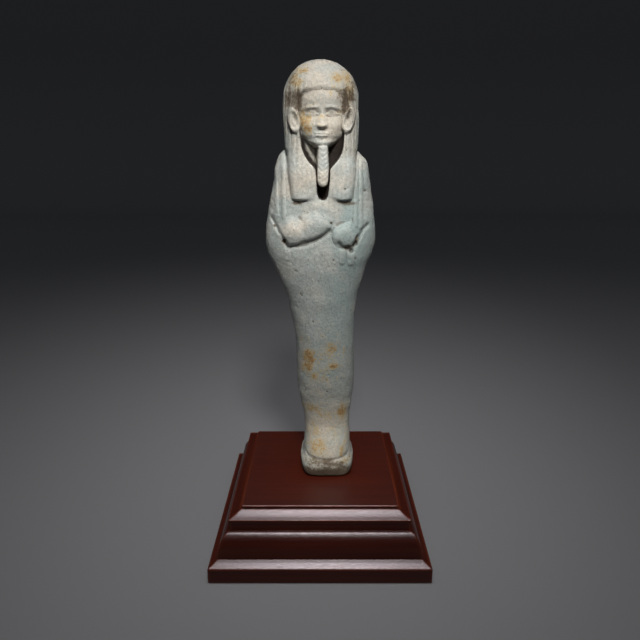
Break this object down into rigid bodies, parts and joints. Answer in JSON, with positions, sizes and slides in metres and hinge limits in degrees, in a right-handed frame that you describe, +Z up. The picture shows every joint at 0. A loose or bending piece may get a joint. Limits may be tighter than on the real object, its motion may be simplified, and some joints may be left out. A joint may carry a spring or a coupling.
{
  "type": "ushabti figurine on a stand",
  "caption": "Mummiform faience figurine with a lappet wig, a plaited beard and crossed hands, standing on a small square moulded wooden display stand.",
  "frame": {"origin": "middle of the stand's underside, where the part rests on a table", "axes": "+Z up along the figurine's height; the figurine faces -Y; +X to its left hand, the right of the picture"},
  "size_m": [0.08, 0.08, 0.178],
  "materials": {
    "faience": "worn matte pale blue-green glaze with cream and ochre stains",
    "wood": "dark red-brown gloss lacquer"
  },
  "bodies": {
    "root": {"ushabti_figurine": "faience", "display_stand": "wood"}
  },
  "joints": []
}
